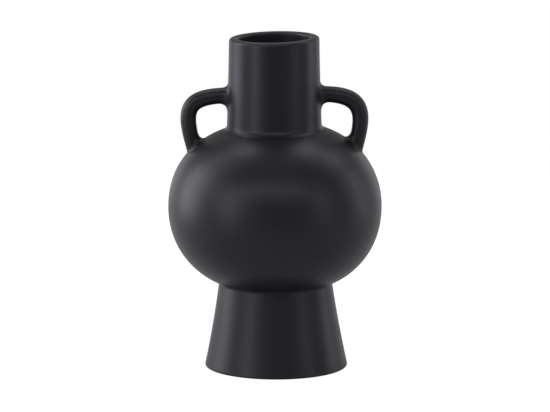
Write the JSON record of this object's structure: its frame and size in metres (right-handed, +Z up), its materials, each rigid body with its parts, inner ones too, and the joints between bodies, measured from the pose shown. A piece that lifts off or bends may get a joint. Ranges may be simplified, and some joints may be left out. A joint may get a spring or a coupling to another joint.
{
  "type": "two-handled pedestal vase",
  "caption": "Round-bellied ceramic vase on a flared hollow foot, with a straight neck, a rounded lip and loop handles from the neck to the shoulder.",
  "frame": {"origin": "middle of the foot's underside, on the surface that the vase stands on", "axes": "+Z up along the axis of the turned pieces, X through the two handles"},
  "size_m": [0.154, 0.154, 0.24],
  "materials": {
    "black_glaze": "satin black glaze"
  },
  "bodies": {
    "root": {"foot": "black_glaze", "lower_bowl": "black_glaze", "upper_bowl": "black_glaze", "neck": "black_glaze", "handle_right": "black_glaze", "handle_left": "black_glaze"}
  },
  "joints": []
}
